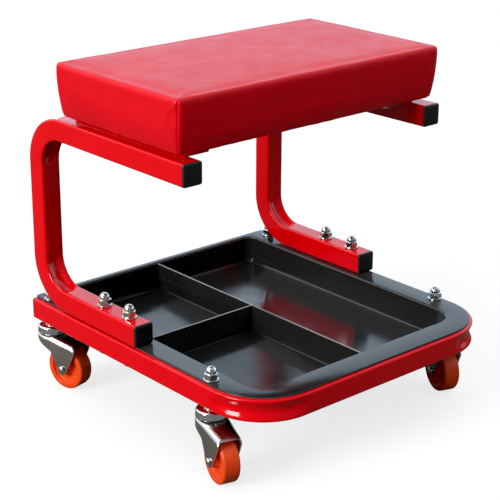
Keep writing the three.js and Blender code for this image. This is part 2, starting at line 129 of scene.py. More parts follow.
base_low, base_high = span("base_frame")
tray_low, tray_high = span("tool_tray")
arm_low, arm_high = span("side_arm_left")
seat_low, seat_high = span("seat_cover")
tube = arm_high.x - arm_low.x
flange_bottom = base_high.z + GAP
flange_top = flange_bottom + TRAY_SHEET
divider_top = flange_top - DIVIDER_DROP
casters = ("caster_fl", "caster_fr", "caster_rl", "caster_rr")
sides = ("left", "right")
ends = ("front", "rear")
stem_places = [middle(f"{name}_stem").xy for name in casters]
arm_bolt_places = [middle(f"arm_bolt_{side}_{end}").xy for side in sides for end in ends]
seat_bolt_places = [middle(f"seat_bolt_{side}_{end}").xy for side in sides for end in ends]
seat_middle = (seat_low + seat_high) / 2
seat_half = (seat_high - seat_low) / 2

# -------- materials


class NodeTree:
    """Adds shader nodes to a tree and feeds their inputs."""

    def __init__(self, tree):
        self.nodes, self.links = tree.nodes, tree.links

    def feed(self, node, inputs):
        """Sets inputs to plain values or links them to other nodes' outputs."""
        for key, value in inputs.items():
            if isinstance(value, bpy.types.NodeSocket):
                self.links.new(value, node.inputs[key])
            else:
                node.inputs[key].default_value = value
        return node

    def add(self, kind, inputs, **settings):
        node = self.nodes.new(f"ShaderNode{kind}")
        for name, value in settings.items():
            setattr(node, name, value)
        return self.feed(node, inputs)

    def maths(self, operation, first, second):
        return self.add("Math", {0: first, 1: second}, operation=operation).outputs[0]

    def spread(self, value, low, high, to_low=0.0, to_high=1.0, easing="LINEAR"):
        """A value's range from low to high, stretched to another range and held there."""
        inputs = {"Value": value, "From Min": low, "From Max": high, "To Min": to_low, "To Max": to_high}
        return self.add("MapRange", inputs, interpolation_type=easing).outputs[0]

    def mix(self, factor, first, second):
        colours = [c if isinstance(c, bpy.types.NodeSocket) else (*c, 1) for c in (first, second)]
        return self.add("Mix", {0: factor, 6: colours[0], 7: colours[1]}, data_type="RGBA").outputs[2]


class Finish(NodeTree):
    """A Principled material whose inputs are fed by procedural textures in the piece's own space."""

    def __init__(self, name, colour, **inputs):
        self.material = bpy.data.materials.new(name)
        self.material.use_nodes = True
        self.material.diffuse_color = (*colour, 1)
        super().__init__(self.material.node_tree)
        self.surface = self.nodes["Principled BSDF"]
        self.where = self.add("TexCoord", {}).outputs["Object"]
        self.feed(self.surface, {"Base Color": (*colour, 1)})
        self.feed(self.surface, {key.replace("_", " "): value for key, value in inputs.items()})

    def noise(self, scale, detail=2.0, stretch=(1, 1, 1)):
        where = self.add("Mapping", {"Vector": self.where, "Scale": stretch}).outputs[0]
        return self.add("TexNoise", {"Vector": where, "Scale": scale, "Detail": detail}).outputs[0]

    def cells(self, scale, feature="F1"):
        inputs = {"Vector": self.where, "Scale": scale}
        return self.add("TexVoronoi", inputs, feature=feature).outputs[0]

    def clouds(self, scale, detail, first, second):
        """Two colours in soft patches."""
        return self.mix(self.spread(self.noise(scale, detail), 0.3, 0.7), first, second)

    def edges(self, low=0.52, high=0.6):
        """1 on convex edges, 0 on flats."""
        return self.spread(self.add("NewGeometry", {}).outputs["Pointiness"], low, high)

    def bump(self, height, distance):
        """Adds relief of a depth in millimetres on top of any that is there."""
        node = self.add("Bump", {"Height": height, "Distance": distance * MM, "Strength": 1.0})
        before = self.surface.inputs["Normal"].links
        if before:
            self.links.new(before[0].from_socket, node.inputs["Normal"])
        self.links.new(node.outputs[0], self.surface.inputs["Normal"])

    def colour(self, value):
        self.feed(self.surface, {"Base Color": value})

    def roughness(self, value):
        self.feed(self.surface, {"Roughness": value})

    def patchy_roughness(self, scale, low, high):
        self.roughness(self.spread(self.noise(scale, 4), 0.3, 0.7, low, high))


def frame_paint():
    red = (0.80, 0.0005, 0.006)
    finish = Finish("frame_paint", red, Specular_IOR_Level=0.4)
    scratches = finish.spread(finish.noise(160, 4), 0.55, 0.7, 0, 0.5)
    wear_and_pale_edges = finish.maths("MULTIPLY", finish.edges(0.56, 0.68), scratches)
    finish.colour(finish.mix(wear_and_pale_edges, finish.clouds(9, 3, red, (0.76, 0.0004, 0.005)), (0.86, 0.05, 0.045)))
    finish.patchy_roughness(60, 0.06, 0.13)
    finish.bump(finish.noise(500, 1), 0.003)
    finish.bump(finish.noise(38, 2), 0.03)
    return finish.material


def seat_vinyl():
    red = (0.78, 0.001, 0.010)
    finish = Finish("seat_vinyl", red, Specular_IOR_Level=0.34)
    # the edges wear paler with rubbing
    pale_share = finish.maths("MULTIPLY", finish.edges(0.51, 0.56), 0.35)
    finish.colour(finish.mix(pale_share, finish.clouds(14, 4, red, (0.72, 0.001, 0.009)), (0.80, 0.01, 0.02)))
    finish.patchy_roughness(45, 0.35, 0.42)
    finish.bump(finish.cells(620, "SMOOTH_F1"), 0.09)  # the grain
    finish.bump(finish.noise(1500, 2), 0.03)  # its pores
    finish.bump(finish.noise(22, 3), 0.1)  # slack
    return finish.material


def tray_plastic():
    black = (0.017, 0.0166, 0.016)
    finish = Finish("tray_plastic", black, IOR=1.52)
    scuffs = finish.noise(220, 5, (1, 0.06, 1))
    smears = finish.spread(finish.noise(26, 4), 0.4, 0.8, 0.13, 0.19)
    finish.roughness(finish.maths("ADD", finish.spread(scuffs, 0.62, 0.72, 0, 0.12), smears))
    wear_and_pale_edges = finish.mix(finish.spread(scuffs, 0.64, 0.74), black, (0.03, 0.03, 0.03))
    # painted highlight: convex edges are painted pale grey, standing for light caught on the moulding's
    # rounded edges
    wear_and_pale_edges = finish.mix(finish.edges(0.53, 0.62), wear_and_pale_edges, (0.12, 0.116, 0.11))
    # painted highlight: the dividers' tops are painted pale, standing for the light their thin top edges
    # catch
    height = finish.add("SeparateXYZ", {0: finish.where}).outputs["Z"]
    near_top = {0: height, 1: (divider_top - 0.1) * MM, 2: 0.2 * MM}
    pale_share = finish.add("Math", near_top, operation="COMPARE").outputs[0]
    finish.colour(finish.mix(pale_share, wear_and_pale_edges, (0.30, 0.29, 0.27)))
    finish.bump(finish.noise(16, 2), 0.25)
    finish.bump(finish.noise(900, 1), 0.004)
    return finish.material


def cap_plastic():
    black = (0.009, 0.009, 0.009)
    finish = Finish("cap_plastic", black)
    finish.patchy_roughness(180, 0.28, 0.42)
    # painted highlight: the cap's convex edges are painted paler grey, standing for light on its rounded head
    finish.colour(finish.mix(finish.edges(), black, (0.07, 0.07, 0.068)))
    finish.bump(finish.noise(1300, 2), 0.02)
    return finish.material


def plated(name, colour, tint, low, high):
    """Plated steel: a colour that drifts towards a tint, and hairlines between two roughnesses."""
    finish = Finish(name, colour, Metallic=1.0)
    finish.colour(finish.mix(finish.spread(finish.noise(75, 3), 0.4, 0.75), colour, tint))
    hairlines = finish.noise(200, 3, (1, 0.15, 1))
    finish.roughness(finish.spread(hairlines, 0.3, 0.75, low, high))
    finish.bump(finish.noise(45, 2), 0.02)
    return finish.material


def wheel_orange():
    orange = (0.97, 0.088, 0.008)
    finish = Finish(
        "wheel_orange",
        orange,
        Subsurface_Weight=0.25,
        Subsurface_Radius=(1.0, 0.35, 0.1),
        Subsurface_Scale=1.5 * MM,
    )
    grime = finish.spread(finish.noise(400, 5), 0.5, 0.7, 0, 0.35)
    rolled = finish.maths("MULTIPLY", finish.edges(0.5, 0.56), grime)
    finish.colour(finish.mix(rolled, finish.clouds(110, 4, orange, (0.86, 0.068, 0.009)), (0.35, 0.07, 0.02)))
    finish.patchy_roughness(240, 0.26, 0.42)
    finish.bump(finish.noise(800, 2), 0.02)
    return finish.material


def plywood():
    pale = (0.55, 0.37, 0.19)
    finish = Finish("seat_board", pale, Roughness=0.75)
    grain = finish.noise(60, 6, (0.12, 1.6, 1))
    fibres = finish.noise(600, 3, (0.03, 1, 1))
    finish.colour(finish.mix(finish.spread(grain, 0.35, 0.65), pale, (0.40, 0.24, 0.11)))
    finish.roughness(finish.spread(fibres, 0.3, 0.7, 0.6, 0.85))
    finish.bump(fibres, 0.08)
    return finish.material


def foam():
    cream = (0.80, 0.72, 0.42)
    finish = Finish("seat_foam", cream, Roughness=0.95)
    pores = finish.cells(900)
    # painted shade: the foam is painted darker in its dented pores, where shade falls inside them
    finish.colour(finish.mix(finish.spread(pores, 0.2, 0.7), (0.52, 0.44, 0.22), cream))
    finish.bump(pores, 0.3)
    return finish.material


MATERIALS = {
    "frame_paint": frame_paint(),
    "seat_vinyl": seat_vinyl(),
    "seat_foam": foam(),
    "seat_board": plywood(),
    "tray_plastic": tray_plastic(),
    "cap_plastic": cap_plastic(),
    "zinc": plated("zinc", (0.80, 0.79, 0.76), (0.74, 0.71, 0.62), 0.12, 0.3),
    "zinc_sheet": plated("zinc_sheet", (0.72, 0.72, 0.69), (0.64, 0.63, 0.57), 0.17, 0.27),
    "chrome": plated("chrome", (0.90, 0.90, 0.90), (0.86, 0.87, 0.88), 0.03, 0.12),
    "wheel_orange": wheel_orange(),
}

# -------- meshes


def shaded(mesh, sharp=35):
    mesh.shade_smooth()
    mesh.set_sharp_from_angle(angle=radians(sharp))


def linked(name, data):
    obj = bpy.data.objects.new(name, data)
    bpy.context.scene.collection.objects.link(obj)
    return obj


def piece(name, points, faces, slot, place=None, sharp=35):
    """A smooth-shaded object from points in millimetres, closed where its rings meet in a point."""
    mesh = bpy.data.meshes.new(name)
    placed = [place @ point for point in points] if place else points
    mesh.from_pydata([point * MM for point in placed], [], faces)
    tidy = bmesh.new()
    tidy.from_mesh(mesh)
    bmesh.ops.remove_doubles(tidy, verts=tidy.verts, dist=0.002 * MM)
    bmesh.ops.dissolve_degenerate(tidy, edges=tidy.edges, dist=0.001 * MM)
    bmesh.ops.recalc_face_normals(tidy, faces=tidy.faces)
    tidy.to_mesh(mesh)
    tidy.free()
    shaded(mesh, sharp)
    mesh.materials.append(MATERIALS[slot])
    obj = linked(name, mesh)
    return obj


def stand_for(obj, node, body="frame"):
    """The object takes the place of a CAD node, if one is given, and moves with a body."""
    if node:
        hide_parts(node)
    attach(obj, body)


def fit(name, part, slot, place=None, node=None, body="frame"):
    """Makes a piece that stands for a CAD node."""
    stand_for(piece(name, *part, slot, place), node, body)


def baked(obj):
    """Applies an object's modifiers to its mesh."""
    depsgraph = bpy.context.evaluated_depsgraph_get()
    made = bpy.data.meshes.new_from_object(obj.evaluated_get(depsgraph))
    obj.modifiers.clear()
    obj.data = made
    return obj


def combined(obj, tool, operation):
    """Joins or cuts an object with another, which is used up."""
    modifier = obj.modifiers.new("combine", "BOOLEAN")
    modifier.operation = operation
    modifier.solver = "EXACT"
    modifier.object = tool
    baked(obj)
    bpy.data.objects.remove(tool)
    return obj


def loft(rings, closed=False):
    """Points and faces between rings of equal length. An open loft is capped at both ends."""
    count = len(rings[0])
    points = [point for ring in rings for point in ring]
    faces = []
    for first in range(len(rings) if closed else len(rings) - 1):
        a = first * count
        b = (first + 1) % len(rings) * count
        for j in range(count):
            k = (j + 1) % count
            faces.append((a + j, a + k, b + k, b + j))
    if not closed:
        faces.append(tuple(reversed(range(count))))
        faces.append(tuple(range(len(points) - count, len(points))))
    return points, faces


def strip(faces, before, row, closed=True):
    """Adds the faces between two rows of point numbers and returns the second row."""
    for k in range(len(row) if closed else len(row) - 1):
        following = (k + 1) % len(row)
        faces.append((before[k], row[k], row[following], before[following]))
    return row


def joined(parts):
    """Several (points, faces) as one."""
    points, faces = [], []
    for some_points, some_faces in parts:
        start = len(points)
        points += some_points
        faces += [tuple(index + start for index in face) for face in some_faces]
    return points, faces


def moved(part, matrix):
    points, faces = part
    return [matrix @ point for point in points], faces


def arc(centre, radius, start, end, steps):
    """(across, up) points on an arc, with angles in degrees from across."""
    angles = [radians(start + (end - start) * step / steps) for step in range(steps + 1)]
    return [(centre[0] + radius * cos(a), centre[1] + radius * sin(a)) for a in angles]


def ring(radius, height, across=None, segments=72):
    """A level circle on the Z axis, cut to a hexagon where across flats is given."""
    points = []
    for step in range(segments):
        angle = tau * step / segments
        reach = radius
        if across:
            off_middle = (angle + pi / 6) % (pi / 3) - pi / 6
            reach = min(radius, across / 2 / cos(off_middle))
        points.append(Vector((reach * cos(angle), reach * sin(angle), height)))
    return points


def turned(profile, closed=False, segments=72):
    """A profile of (radius, height) points turned about the Z axis."""
    return loft([ring(radius, height, None, segments) for radius, height in profile], closed)


def smooth_step(value, low, high):
    share = min(max((value - low) / (high - low), 0), 1)
    return share * share * (3 - 2 * share)


def rounded_outline(half_width, front, rear, front_radius, rear_radius, steps=14):
    """A rounded rectangle's points, anticlockwise from the rear right."""
    corners = [
        (half_width - rear_radius, rear - rear_radius, rear_radius, 0),
        (-half_width + rear_radius, rear - rear_radius, rear_radius, 90),
        (-half_width + front_radius, front + front_radius, front_radius, 180),
        (half_width - front_radius, front + front_radius, front_radius, 270),
    ]
    points = []
    for x, y, radius, start in corners:
        points += arc((x, y), radius, start, start + 90, steps)
    return points


def level(outline, height):
    return [Vector((x, y, height)) for x, y in outline]


def slab(half, corner, bottom, top, edge):
    """A flat block with a rounded plan and rounded edges, centred on Z, from half its size in X and Y."""
    rings = []
    profile = arc((-edge, bottom + edge), edge, 270, 360, 3) + arc((-edge, top - edge), edge, 0, 90, 3)
    for across, height in profile:
        radius = max(corner + across, 0.2)
        outline = rounded_outline(half[0] + across, -half[1] - across, half[1] + across, radius, radius, 6)
        rings.append(level(outline, height))
    return loft(rings)


# -------- bent square tube

BEND_STEPS = 30
CRUSH_LEAD = 5.0  # the walls start to sink this far before a bend
CRUSH_RAMP = 15.0  # and reach their full depth over this length
INNER_CRUSH = 3.8
OUTER_CRUSH = 4.0
SIDE_BULGE = 0.5


def bent_path(corners, radius):
    """Stations along straight runs joined by quarter bends: place, heading and share of the crush."""
    headings = [(b - a).normalized() for a, b in zip(corners, corners[1:])]
    leads = [CRUSH_LEAD * step / 3 for step in range(1, 4)]
    stations = []

    def add_station(place, heading, depth):
        stations.append((place, heading, smooth_step(depth, -CRUSH_LEAD, CRUSH_RAMP - CRUSH_LEAD)))

    for i, heading in enumerate(headings):
        after_bend = i > 0
        before_bend = i + 1 < len(headings)
        start = corners[i] + heading * (radius if after_bend else 0)
        end = corners[i + 1] - heading * (radius if before_bend else 0)
        length = (end - start).length
        offsets = [0.0] + (leads if after_bend else [])
        offsets += [length - lead for lead in reversed(leads) if before_bend] + [length]
        for offset in offsets:
            to_bends = [offset] * after_bend + [length - offset] * before_bend
            add_station(start + heading * offset, heading, -min(to_bends))
        if before_bend:
            onward = headings[i + 1]
            centre = end + onward * radius
            for step in range(1, BEND_STEPS):
                angle = pi / 2 * step / BEND_STEPS
                place = centre - onward * radius * cos(angle) + heading * radius * sin(angle)
                direction = heading * cos(angle) + onward * sin(angle)
                add_station(place, direction, min(angle, pi / 2 - angle) * radius)
    return stations


def square_section(half, corner):
    """(inward, sideways) points round a square tube, close together so that its walls can sink."""
    flats = 8
    points = []
    for quarter in range(4):
        turn = Matrix.Rotation(quarter * pi / 2, 2)
        for step in range(1, flats):
            offset = (half - corner) * (2 * step / flats - 1)
            points.append(turn @ Vector((half, offset)))
        for across, up in arc((half - corner, half - corner), corner, 0, 90, 5):
            points.append(turn @ Vector((across, up)))
    return points


def crushed(point, half, crush):
    """A section point of a tube bent without a mandrel: the inner and outer walls sink, the sides swell."""
    inward, sideways = point
    valley = cos(pi / 2 * sideways / half) ** 2
    inner = max(0.0, inward / half) ** 3
    outer = max(0.0, -inward / half) ** 3
    swell = SIDE_BULGE * crush * (sideways / half) ** 3 * (1 - (inward / half) ** 2)
    return Vector((
        inward - crush * valley * (INNER_CRUSH * inner - OUTER_CRUSH * outer),
        sideways + swell,
    ))


def bent_tube(corners, radius, size):
    """Hollow square tube along a bent path, open at both ends."""
    half = size / 2
    outer = square_section(half, TUBE_CORNER)
    bore_share = (half - TUBE_WALL) / half
    side = (corners[1] - corners[0]).cross(corners[2] - corners[1]).normalized()
    outside, inside = [], []
    for place, heading, crush in bent_path(corners, radius):
        inward = side.cross(heading)
        walls = [crushed(point, half, crush) for point in outer]
        outside.append([place + inward * p.x + side * p.y for p in walls])
        inside.append([place + (inward * p.x + side * p.y) * bore_share for p in walls])
    return loft(outside + list(reversed(inside)), closed=True)


def drilled(obj, node, places, bottom, top):
    """Cuts upright holes for M8 bolts through a piece, between two heights, that stands for a CAD node."""
    hole = turned([(BOLT_BORE, bottom - 1), (BOLT_BORE, top + 1)], segments=24)
    holes = [moved(hole, Matrix.Translation((x, y, 0))) for x, y in places]
    combined(obj, piece("holes", *joined(holes), "zinc"), "DIFFERENCE")
    shaded(obj.data)
    stand_for(obj, node)


def on_side(places, x):
    return [place for place in places if place.x * x > 0]


# -------- base and side arms


def make_base_frame():
    height = (base_low.z + base_high.z) / 2
    rail = base_high.x - tube / 2
    front = base_low.y + tube / 2
    corners = [
        Vector((-rail, base_high.y, height)),
        Vector((-rail, front, height)),
        Vector((rail, front, height)),
        Vector((rail, base_high.y, height)),
    ]
    base = piece("base_frame_tube", *bent_tube(corners, BASE_BEND_RADIUS, tube), "frame_paint")
    drilled(base, "base_frame", stem_places + arm_bolt_places, base_low.z, base_high.z)


def make_side_arm(side):
    node = f"side_arm_{side}"
    lower_cap, upper_cap = f"arm_lower_cap_{side}", f"arm_upper_cap_{side}"
    x = middle(lower_cap).x
    lower_end = span(lower_cap)[0].y + CAP_HEAD
    back = arm_high.y - tube / 2
    bottom = arm_low.z + tube / 2
    top = arm_high.z - tube / 2
    corners = [
        Vector((x, lower_end, bottom)),
        Vector((x, back, bottom)),
        Vector((x, back, top)),
        Vector((middle(upper_cap).x, arm_low.y, top)),
    ]
    arm = piece(f"{node}_tube", *bent_tube(corners, ARM_BEND_RADIUS, tube), "frame_paint")
    drilled(arm, node, on_side(arm_bolt_places, x), arm_low.z, arm_low.z + tube)


def make_end_cap(node, facing):
    """A pillowed plug in a tube end; facing is 1 towards the back and -1 towards the front."""
    low, high = span(node)
    end = high.y - CAP_HEAD if facing > 0 else low.y + CAP_HEAD
    half = tube / 2
    plug = TUBE_WALL + GAP
    depth = 10.0
    # (distance in from the tube's outside, height above the tube's end)
    profile = [(plug + 0.6, -depth), (plug, 1 - depth), (plug, 0.2), (0.1, GAP), (0, 0.6)]
    profile += [(1.9 - 1.9 * cos(radians(a)), 0.9 + 1.7 * sin(radians(a))) for a in (0, 22, 45, 67, 85)]
    profile += [(4.5, 2.75), (8, 2.92), (11, 3.0)]
    rings = []
    for inset, height in profile:
        corner = max(TUBE_CORNER - inset * 0.4, 0.5)
        outline = rounded_outline(half - inset, inset - half, half - inset, corner, corner, 6)
        rings.append(level(outline, height))
    place = Matrix.Translation((middle(node).x, end, (low.z + high.z) / 2))
    place @= Matrix.Rotation(-facing * pi / 2, 4, "X")
    fit(f"{node}_plug", loft(rings), "cap_plastic", place, node)


# -------- tool tray


def tray_outline(inset):
    """The flange's outline, moved in."""
    return rounded_outline(
        tray_high.x - inset,
        tray_low.y + inset,
        tray_high.y - inset,
        max(FLANGE_FRONT_RADIUS - inset, 0.5),
        max(FLANGE_REAR_RADIUS - inset, 0.5),
    )


def well_outline(grow):
    """The outline of the well's mouth, grown by an amount that may be negative."""
    return rounded_outline(
        tray_high.x - WELL_SIDE_MARGIN + grow,
        tray_low.y + WELL_FRONT_MARGIN - grow,
        tray_high.y - WELL_REAR_MARGIN + grow,
        max(WELL_FRONT_RADIUS + grow, 1.0),
        max(WELL_REAR_RADIUS + grow, 1.0),
    )


def make_tray():
    floor = tray_low.z + TRAY_SHEET
    lip = 0.7  # rounding of the flange's edge
    mouth = 1.6  # rounding where the flange turns down into the well
    foot = 4.0  # rounding where the wall meets the floor
    middle_inset = WELL_DRAFT + 12  # where the floor's plain middle starts
    foot_centre = (-WELL_DRAFT - foot, floor + foot)
    wall = flange_top - mouth - floor - foot

    # (growth of the well's outline, height) up the outside of the well
    outside = [(-middle_inset, tray_low.z)] + arc(foot_centre, foot + TRAY_SHEET, -90, 0, 6)
    outside += [(TRAY_SHEET, flange_bottom - mouth)]
    outside += arc((TRAY_SHEET + mouth, flange_bottom - mouth), mouth, 180, 90, 4)
    # (distance in from the flange's edge, height) round that edge
    edge = [(1.0, flange_bottom), (0.3, flange_bottom + 0.1), (0.0, flange_bottom + 0.5)]
    edge += arc((lip, flange_top - lip), lip, 180, 90, 4)
    # and down the inside of the well
    inside = arc((mouth, flange_top - mouth), mouth, 90, 180, 5)
    inside += [(-WELL_DRAFT * step / 4, flange_top - mouth - wall * step / 4) for step in range(1, 4)]
    inside += arc(foot_centre, foot, 0, -90, 6) + [(-middle_inset, floor)]

    rings = [level(well_outline(grow), height) for grow, height in outside]
    rings += [level(tray_outline(inset), height) for inset, height in edge]
    rings += [level(well_outline(grow), height) for grow, height in inside]
    tray = piece("tool_tray_moulding", *loft(rings), "tray_plastic")
    for wall_piece in tray_dividers(floor):
        combined(tray, wall_piece, "UNION")
    drilled(tray, "tool_tray", stem_places + arm_bolt_places, flange_bottom, flange_top)


def divider(start, end, floor):
    """A thin upright wall between two places, on a flared foot."""
    top = divider_top
    half, flare = 0.9, 2.0
    profile = [(half + flare, floor - 0.8), (half + flare, floor)]
    profile += arc((half + 0.25 + flare, floor + flare), flare, 270, 180, 4)
    profile += [(half, top - 0.25), (half - 0.07, top - 0.07), (half - 0.25, top), (0, top)]
    profile += [(-across, up) for across, up in reversed(profile[:-1])]
    along = (end - start).normalized()
    across = Vector((-along.y, along.x))
    rings = []
    for share in (0, 1):
        rings.append([])
        for off, height in profile:
            # the ends lean in with the well's walls
            lean = WELL_DRAFT * (flange_top - height) / (flange_top - floor)
            place = start + along * lean if share == 0 else end - along * lean
            rings[-1].append(Vector((*(place + across * off), height)))
    return piece("divider", *loft(rings), "tray_plastic")


def tray_dividers(floor):
    in_wall = 1.2
    front = Vector((LONG_DIVIDER_X, tray_low.y + WELL_FRONT_MARGIN - in_wall))
    rear = Vector((LONG_DIVIDER_X, tray_high.y - WELL_REAR_MARGIN + in_wall))
    left = Vector((tray_low.x + WELL_SIDE_MARGIN - in_wall, CROSS_DIVIDER_Y))
    crossing = Vector((LONG_DIVIDER_X + WELL_DRAFT, CROSS_DIVIDER_Y))
    return [divider(front, rear, floor), divider(left, crossing, floor)]


# -------- seat

SEAT_CORNER = 7.0
SEAT_EDGE = 3.8
SEAT_FOOT = 3.4  # rounding where the side turns under the board
SEAT_TAPER = 5.5
SEAT_CROWN = 0.8
SEAT_SWELL = 1.4
VINYL = 1.2
HEM = 28.0
PUFF_CAP = 1.6  # how far the vinyl may move in the simulation
FOLD_OFFSET = 3.0  # from a corner to the folded edge of its pleat
STAPLE_PITCH = 23.0


def grid_lines(half):
    """Positions from -half to half, close together near the ends."""
    fine, coarse, zone = 1.5, 8.0, 21.0
    fine_steps = round(zone / fine)
    coarse_steps = round((2 * half - 2 * zone) / coarse)
    lines = [-half + fine * step for step in range(fine_steps)]
    lines += [-half + zone + (2 * half - 2 * zone) * step / coarse_steps for step in range(coarse_steps + 1)]
    lines += [half - fine * step for step in reversed(range(fine_steps))]
    return lines


def seat_plan(x, y, inset):
    """Where a point of the seat's rectangle goes when its corners are rounded and it is moved in."""
    radius = max(SEAT_CORNER - inset, 1.5)
    scaled, core = [], []
    for value, half in ((x, seat_half.x), (y, seat_half.y)):
        scaled.append(value * (half - inset) / half)
        core.append(min(max(scaled[-1], radius + inset - half), half - inset - radius))
    off = Vector((scaled[0] - core[0], scaled[1] - core[1]))
    if off.x and off.y:
        off *= max(abs(off.x), abs(off.y)) / off.length
    return Vector(core) + off


def side_inset(share):
    """How far the seat's side stands in, from its top (share 0) to its foot (share 1)."""
    return SEAT_TAPER * share ** 1.2 - SEAT_SWELL * sin(pi * share)


def seat_profile(inset, top):
    """(inset, height) from the upper edge of the seat's side down to the end of its hem."""
    edge = SEAT_EDGE - inset * 0.5
    bottom = seat_low.z + inset
    rows = [(inset + edge * (1 - sin(radians(a))), top - edge * (1 - cos(radians(a)))) for a in (22, 45, 67)]
    upper, lower = top - edge, bottom + SEAT_FOOT
    steps = 10
    for step in range(steps + 1):
        share = step / steps
        rows.append((inset + side_inset(share), upper + (lower - upper) * share))
    foot = (inset + SEAT_TAPER + SEAT_FOOT, lower)
    for angle in (30, 60, 90):
        rows.append((foot[0] - SEAT_FOOT * cos(radians(angle)), foot[1] - SEAT_FOOT * sin(radians(angle))))
    return rows


def seat_shell(inset, top, with_hem):
    """The seat's outer surface as points and faces: a top grid, then rows down the side and under it."""
    xs, ys = grid_lines(seat_half.x), grid_lines(seat_half.y)
    crown_edge = inset + SEAT_EDGE - inset * 0.5
    points = []
    for y in ys:
        for x in xs:
            flat = seat_plan(x, y, crown_edge)
            bulge = (1 - (x / seat_half.x) ** 2) * (1 - (y / seat_half.y) ** 2)
            points.append(Vector((*flat, top + SEAT_CROWN * bulge)))
    columns, rows = len(xs), len(ys)
    faces = []
    for j in range(rows - 1):
        for i in range(columns - 1):
            a = j * columns + i
            faces.append((a, a + 1, a + columns + 1, a + columns))
    rim = [(i, 0) for i in range(columns - 1)]
    rim += [(columns - 1, j) for j in range(rows - 1)]
    rim += [(i, rows - 1) for i in range(columns - 1, 0, -1)]
    rim += [(0, j) for j in range(rows - 1, 0, -1)]
    before = [j * columns + i for i, j in rim]
    profile = seat_profile(inset, top)
    if with_hem:
        last_inset, last_height = profile[-1]
        profile += [(last_inset + (HEM - last_inset) * step / 5, last_height) for step in range(1, 6)]
    for row_inset, height in profile:
        row = []
        for i, j in rim:
            row.append(len(points))
            points.append(Vector((*seat_plan(xs[i], ys[j], row_inset), height)))
        before = strip(faces, before, row)
    if not with_hem:
        faces.append(tuple(before))
    centred = [point + Vector((*seat_middle.xy, 0)) for point in points]
    return centred, faces


def puffed(cover):
    """Blows the vinyl out with cloth, held by its hem, and keeps each point near where it started."""
    mesh = cover.data
    start = [vertex.co.copy() for vertex in mesh.vertices]
    outward = [vertex.normal.copy() for vertex in mesh.vertices]
    held = cover.vertex_groups.new(name="held")
    hem_top = (seat_low.z + SEAT_FOOT) * MM
    held.add([v.index for v in mesh.vertices if v.co.z < hem_top], 1.0, "REPLACE")
    cloth = cover.modifiers.new("puff", "CLOTH")
    settings = cloth.settings
    settings.quality = 6
    settings.mass = 0.25
    settings.tension_stiffness = settings.compression_stiffness = 30
    settings.shear_stiffness = 12
    settings.bending_stiffness = 2
    settings.use_pressure = True
    settings.uniform_pressure_force = 4
    settings.vertex_group_mass = held.name
    settings.effector_weights.gravity = 0
    last = 20
    cloth.point_cache.frame_end = last
    for step in range(1, last + 1):
        bpy.context.scene.frame_set(step)
    depsgraph = bpy.context.evaluated_depsgraph_get()
    puffed_mesh = cover.evaluated_get(depsgraph).data
    ended = [vertex.co.copy() for vertex in puffed_mesh.vertices]
    cover.modifiers.clear()
    cap = PUFF_CAP * MM
    for vertex, old, new, normal in zip(mesh.vertices, start, ended, outward):
        move = new - old
        move -= normal * min(0.0, move.dot(normal))  # the foam holds the vinyl out
        vertex.co = old + move * (cap / (cap + move.length))
    relax = cover.modifiers.new("relax", "SMOOTH")
    relax.iterations = 3
    baked(cover)
    bpy.context.scene.frame_set(1)


def hump(distance, width):
    """1 in the middle, falling away smoothly on both sides."""
    return math.exp(-((distance / width) ** 2))


def pleat(along, below_top):
    """How far the folded corner stands out, by the distance along the side from the fold's edge."""
    groove = -1.6 * hump(along, 1.0)
    layer = 0.6 * smooth_step(-along, 0, 1.6) if along < 0 else 0.0
    tucked = 0.0
    if along > 0:
        # the vinyl is pulled slantwise away from the fold's upper end, and hollow beside its middle
        ridge = 0.55 * hump(along - below_top + 4, 3.5) * (1 - smooth_step(along, 8, 24))
        hollow = 1.1 * hump(along - 3, 8) * hump(below_top - 17, 9)
        tucked = ridge - hollow
    return (groove + layer) * smooth_step(below_top, 0.5, 7) + tucked


def vinyl_relief(point):
    """How far the vinyl stands out at a place, in millimetres: pleats, staple gathers and slack."""
    x, y = point.x - seat_middle.x, point.y - seat_middle.y
    below_top = seat_high.z - point.z
    above_bottom = point.z - seat_low.z
    from_x = seat_half.x - abs(x)
    from_y = seat_half.y - abs(y)
    relief = 0.0
    if below_top > 0.5:
        on_end = from_x < from_y  # on a side that faces X
        # each corner's fold lies on the next side, going round
        folds_here = (x < 0) == (y < 0) if on_end else (x > 0) == (y < 0)
        if folds_here:
            share = min(max(below_top / (seat_high.z - seat_low.z), 0.0), 1.0)
            from_corner = (from_y if on_end else from_x) - side_inset(share)
            relief += pleat(from_corner - FOLD_OFFSET, below_top)
    around = y if from_x < from_y else x
    gathers = 0.15 * sin(around * tau / STAPLE_PITCH + 0.8 * sin(around * 0.07))
    slack = 0.5 * noise.noise(point * 0.021) + 0.18 * noise.noise(point * 0.09)
    return relief + gathers * hump(above_bottom, 12) + slack


def make_seat_cover():
    edge_height = seat_high.z - SEAT_CROWN
    cover = piece("seat_cover_vinyl", *seat_shell(0.0, edge_height, True), "seat_vinyl", sharp=180)
    puffed(cover)
    smoother = cover.modifiers.new("smooth", "SUBSURF")
    smoother.levels = smoother.render_levels = 1
    baked(cover)
    mesh = cover.data
    normals = [vertex.normal.copy() for vertex in mesh.vertices]
    for vertex, normal in zip(mesh.vertices, normals):
        place = vertex.co / MM
        if place.z > seat_low.z + 0.6:
            vertex.co += normal * vinyl_relief(place) * MM
    mesh.update()
    sheet = cover.modifiers.new("thickness", "SOLIDIFY")
    sheet.thickness = VINYL * MM
    sheet.offset = -1
    baked(cover)
    cover.data.shade_smooth()
    stand_for(cover, "seat_cover")


def make_seat_foam():
    inset = VINYL + 3.2  # clear of the creases
    board_top = span("seat_board")[1].z
    points, faces = seat_shell(inset, seat_high.z - SEAT_CROWN - inset, False)
    raised = [Vector((p.x, p.y, max(p.z, board_top + GAP))) for p in points]
    stand_for(piece("seat_foam_pad", raised, faces, "seat_foam", sharp=60), "seat_foam")


